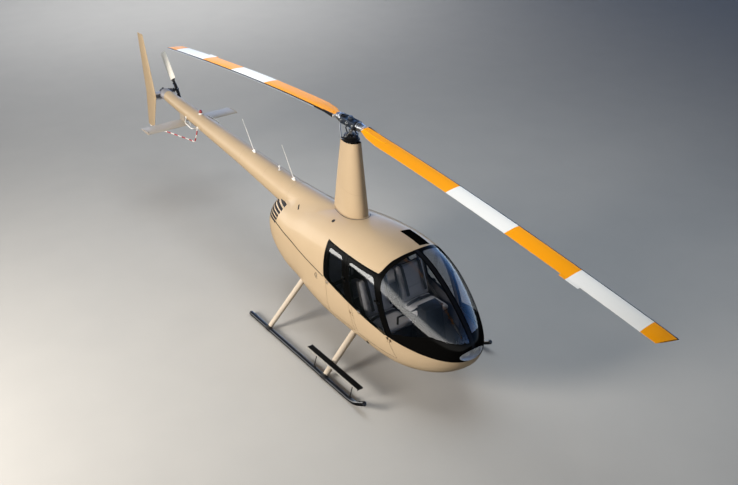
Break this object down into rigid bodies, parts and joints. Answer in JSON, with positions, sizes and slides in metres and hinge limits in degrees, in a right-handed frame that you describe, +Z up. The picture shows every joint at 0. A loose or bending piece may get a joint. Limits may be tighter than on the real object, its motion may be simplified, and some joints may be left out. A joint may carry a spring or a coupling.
{
  "type": "light helicopter",
  "caption": "Light piston helicopter with an egg-shaped glazed cabin, four doors, skid landing gear, tall mast fairing, slim tail cone and two-blade main and tail rotors.",
  "frame": {"origin": "middle of the overall box at ground level, below the skids", "axes": "+Y aft along the fuselage, -Y towards the nose, +X to port, +Z up"},
  "size_m": [2.244, 11.3665, 3.235],
  "materials": {
    "paint": "gloss",
    "black_parts": "satin",
    "glass": "gloss",
    "leather": "satin",
    "steel": "satin",
    "blade_yellow": "gloss",
    "white_parts": "gloss",
    "red_lens": "gloss"
  },
  "bodies": {
    "airframe": {"cabin_tub": "paint", "cabin_roof": "paint", "windscreen_port": "glass", "windscreen_starboard": "glass", "windscreen_bow": "black_parts", "engine_cowl": "paint", "rear_bulkhead": "black_parts", "engine_block": "steel", "tailcone": "paint", "tail_gearbox": "black_parts", "vertical_fin": "paint", "fin_bracket": "paint", "horizontal_stabiliser": "paint", "rail_antenna_port": "white_parts", "rail_antenna_starboard": "white_parts", "tail_guard": "white_parts", "mast_fairing": "paint", "mast_tube": "black_parts", "front_leg_port": "paint", "rear_leg_port": "paint", "skid_port": "black_parts", "step_port": "black_parts", "front_leg_starboard": "paint", "rear_leg_starboard": "paint", "skid_starboard": "black_parts", "step_starboard": "black_parts", "front_seat_port": "leather", "rear_seat_port": "leather", "front_seat_starboard": "leather", "rear_seat_starboard": "leather", "instrument_console": "black_parts", "cyclic_stick": "black_parts", "antenna_front": "white_parts", "antenna_rear": "white_parts", "beacon": "red_lens"},
    "front_door_port": {"front_door_port": "paint", "front_door_pane_port": "glass"},
    "rear_door_port": {"rear_door_port": "paint", "rear_door_pane_port": "glass"},
    "front_door_starboard": {"front_door_starboard": "paint", "front_door_pane_starboard": "glass"},
    "rear_door_starboard": {"rear_door_starboard": "paint", "rear_door_pane_starboard": "glass"},
    "main_rotor": {"mast_shaft": "steel", "rotor_hub": "steel", "swashplate": "black_parts", "main_blade_a": "blade_yellow", "main_blade_b": "blade_yellow"},
    "tail_rotor": {"tail_rotor_hub": "black_parts", "tail_blade_a": "white_parts", "tail_blade_b": "white_parts"}
  },
  "joints": [
    {"name": "main_rotor_spin", "type": "hinge", "parent": "airframe", "child": "main_rotor", "pos_m": [0, -0.69035, 3.1], "axis": [0, 0, 1], "continuous": true},
    {"name": "tail_rotor_spin", "type": "hinge", "parent": "airframe", "child": "tail_rotor", "pos_m": [0.257, 5.19965, 1.89], "axis": [1, 0, 0], "continuous": true},
    {"name": "front_door_port_swing", "type": "hinge", "parent": "airframe", "child": "front_door_port", "pos_m": [0.626, -2.40098, 0.62], "axis": [0, -0.437, -0.8994], "range_deg": [0, 70]},
    {"name": "rear_door_port_swing", "type": "hinge", "parent": "airframe", "child": "rear_door_port", "pos_m": [0.65, -1.58835, 0.62], "axis": [0, -0.2873, -0.9578], "range_deg": [0, 70]},
    {"name": "front_door_starboard_swing", "type": "hinge", "parent": "airframe", "child": "front_door_starboard", "pos_m": [-0.626, -2.40098, 0.62], "axis": [0, 0.437, 0.8994], "range_deg": [0, 70]},
    {"name": "rear_door_starboard_swing", "type": "hinge", "parent": "airframe", "child": "rear_door_starboard", "pos_m": [-0.65, -1.58835, 0.62], "axis": [0, 0.2873, 0.9578], "range_deg": [0, 70]}
  ],
  "couplings": [
    {"joint": "tail_rotor_spin", "follows": "main_rotor_spin", "ratio": -5.946}
  ]
}
